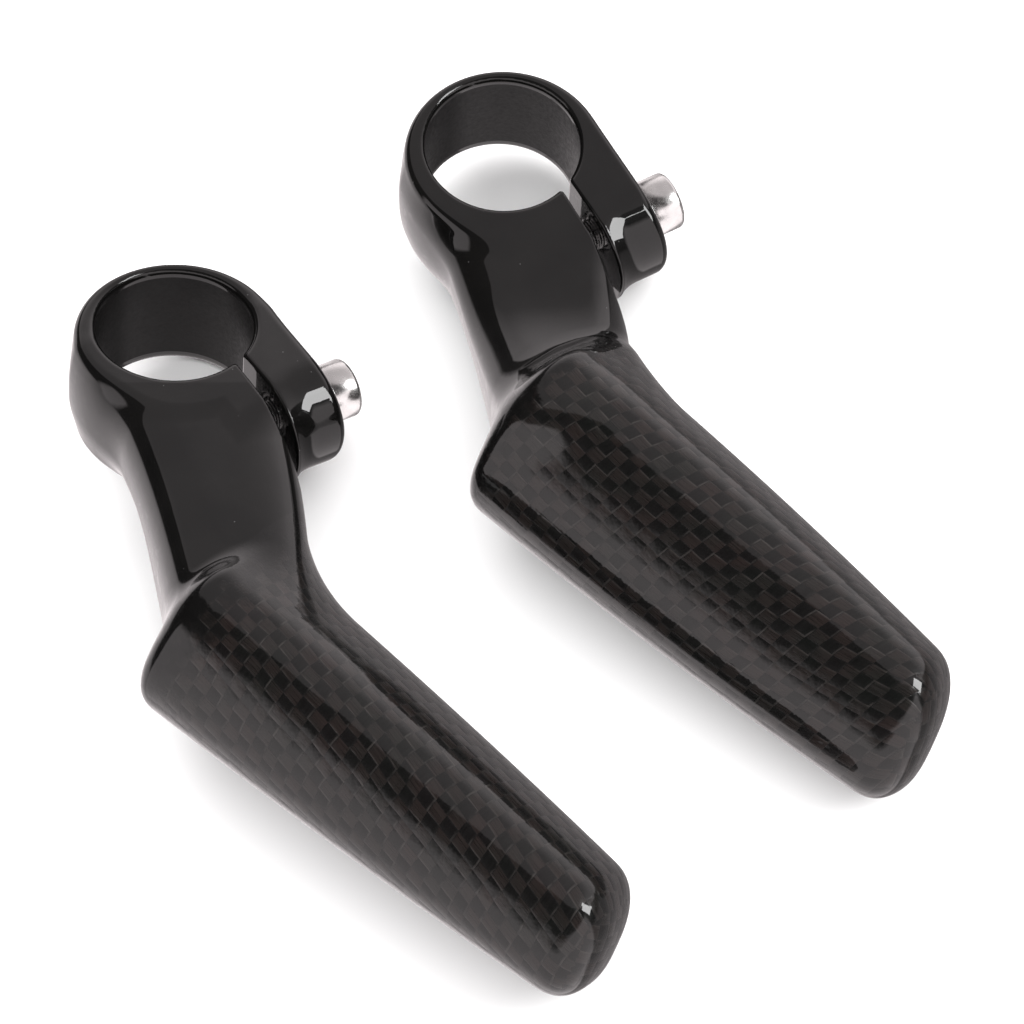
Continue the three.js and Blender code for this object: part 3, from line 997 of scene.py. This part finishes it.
def camera():
    forward = Vector((0, math.cos(VIEW_ELEVATION), -math.sin(VIEW_ELEVATION)))
    level, down = Vector((1, 0, 0)), forward.cross(Vector((1, 0, 0)))
    right = level * math.cos(VIEW_ROLL) - down * math.sin(VIEW_ROLL)
    up = -(level * math.sin(VIEW_ROLL) + down * math.cos(VIEW_ROLL))
    data = bpy.data.cameras.new("camera")
    data.sensor_width = 36
    data.lens = VIEW_LENS
    data.clip_start = 0.01
    ob = bpy.data.objects.new("camera", data)
    matrix = Matrix((right, up, -forward)).transposed().to_4x4()
    matrix.translation = VIEW_TARGET - forward * VIEW_DISTANCE
    ob.matrix_world = matrix
    bpy.context.scene.collection.objects.link(ob)
    bpy.context.scene.camera = ob


def softbox(name, direction, distance, size, power, in_reflections=True):
    """A rectangular area light aimed at the bar ends from a direction."""
    data = bpy.data.lights.new(name, "AREA")
    data.shape = "RECTANGLE"
    data.size, data.size_y = size
    data.energy = power
    ob = bpy.data.objects.new(name, data)
    ob.location = Vector(direction).normalized() * distance
    ob.rotation_euler = aimed(ob.location, (0, 0, 0))
    ob.visible_glossy = in_reflections
    bpy.context.scene.collection.objects.link(ob)


def back_softbox(nodes, direction, z):
    """A large round softbox behind the bar ends, brighter in its low part."""
    middle = Vector(SOFTBOX["direction"]).normalized()
    dot = nodes.add("VectorMath", direction, middle, operation="DOT_PRODUCT").outputs["Value"]
    edge = math.cos(SOFTBOX["reach"])
    inside = nodes.spread(dot, edge, edge + SOFTBOX["edge"])
    low = nodes.spread(z, *SOFTBOX["low_part"], 0.0, SOFTBOX["low_gain"])
    return nodes.math("MULTIPLY", inside, nodes.math("ADD", SOFTBOX["brightness"], low))


def front_band(nodes, x, y, z):
    """A bright band in front, up to a height."""
    level = nodes.math("SQRT", nodes.math("SUBTRACT", 1.0, nodes.math("MULTIPLY", z, z)))
    part_x = nodes.math("MULTIPLY", x, FRONT["x"])
    forward = nodes.math("ADD", part_x, nodes.math("MULTIPLY", y, FRONT["y"]))
    limit = nodes.math("MULTIPLY", level, math.cos(FRONT["reach"]))
    past = nodes.math("SUBTRACT", forward, limit)
    band = nodes.spread(past, 0.0, FRONT["edge"], 0.0, FRONT["brightness"])
    under = nodes.spread(z, FRONT["top"] + FRONT["top_edge"], FRONT["top"] - FRONT["top_edge"])
    return nodes.math("MULTIPLY", band, under)


def table_glow(nodes, x, y, z):
    """The pale table below, brighter at the far left."""
    far = nodes.spread(y, *TABLE["far"], 0.0, TABLE["far_left"])
    far_left = nodes.math("MULTIPLY", nodes.spread(x, *TABLE["left"]), far)
    brightness = nodes.math("ADD", far_left, TABLE["near"])
    return nodes.math("MULTIPLY", nodes.spread(z, *TABLE["edge"]), brightness)


def surroundings():
    """What the bar ends reflect, by direction. The camera itself sees white."""
    world = bpy.data.worlds.new("studio")
    bpy.context.scene.world = world
    world.use_nodes = True
    nodes = Tree(world.node_tree)
    direction = nodes.add("TexCoord").outputs["Generated"]
    x, y, z = nodes.add("SeparateXYZ", direction).outputs
    brightest = nodes.math("MAXIMUM", table_glow(nodes, x, y, z), ROOM_BRIGHTNESS)
    for glow in (back_softbox(nodes, direction, z), front_band(nodes, x, y, z)):
        brightest = nodes.math("MAXIMUM", brightest, glow)
    seen = nodes.add("LightPath").outputs["Is Camera Ray"]
    background = nodes.tree.nodes["Background"]
    nodes.put(background.inputs["Strength"], nodes.math("MAXIMUM", brightest, seen))
    background.inputs["Color"].default_value = ROOM_COLOUR


def floor():
    bm = bmesh.new()
    bmesh.ops.create_grid(bm, x_segments=8, y_segments=8, size=4)
    mesh = bpy.data.meshes.new("floor")
    bm.to_mesh(mesh)
    bm.free()
    ob = bpy.data.objects.new("floor", mesh)
    bpy.context.scene.collection.objects.link(ob)
    nodes = Nodes("pale_floor", Roughness=0.8)
    nodes.shader.inputs["Specular IOR Level"].default_value = 0.1
    cloud = nodes.noise(nodes.place(), 0.004, 2)
    nodes.to("Base Color", nodes.mix(cloud, grey(0.9), grey(0.92)))
    mesh.materials.append(nodes.material)
    ob.visible_glossy = False  # the room's own brightness stands for the table in reflections


camera()
surroundings()
floor()
softbox("fill", **FILL, in_reflections=False)
softbox("right_box", **RIGHT_BOX)
bpy.context.scene.view_settings.view_transform = "Standard"

bpy.context.view_layer.update()
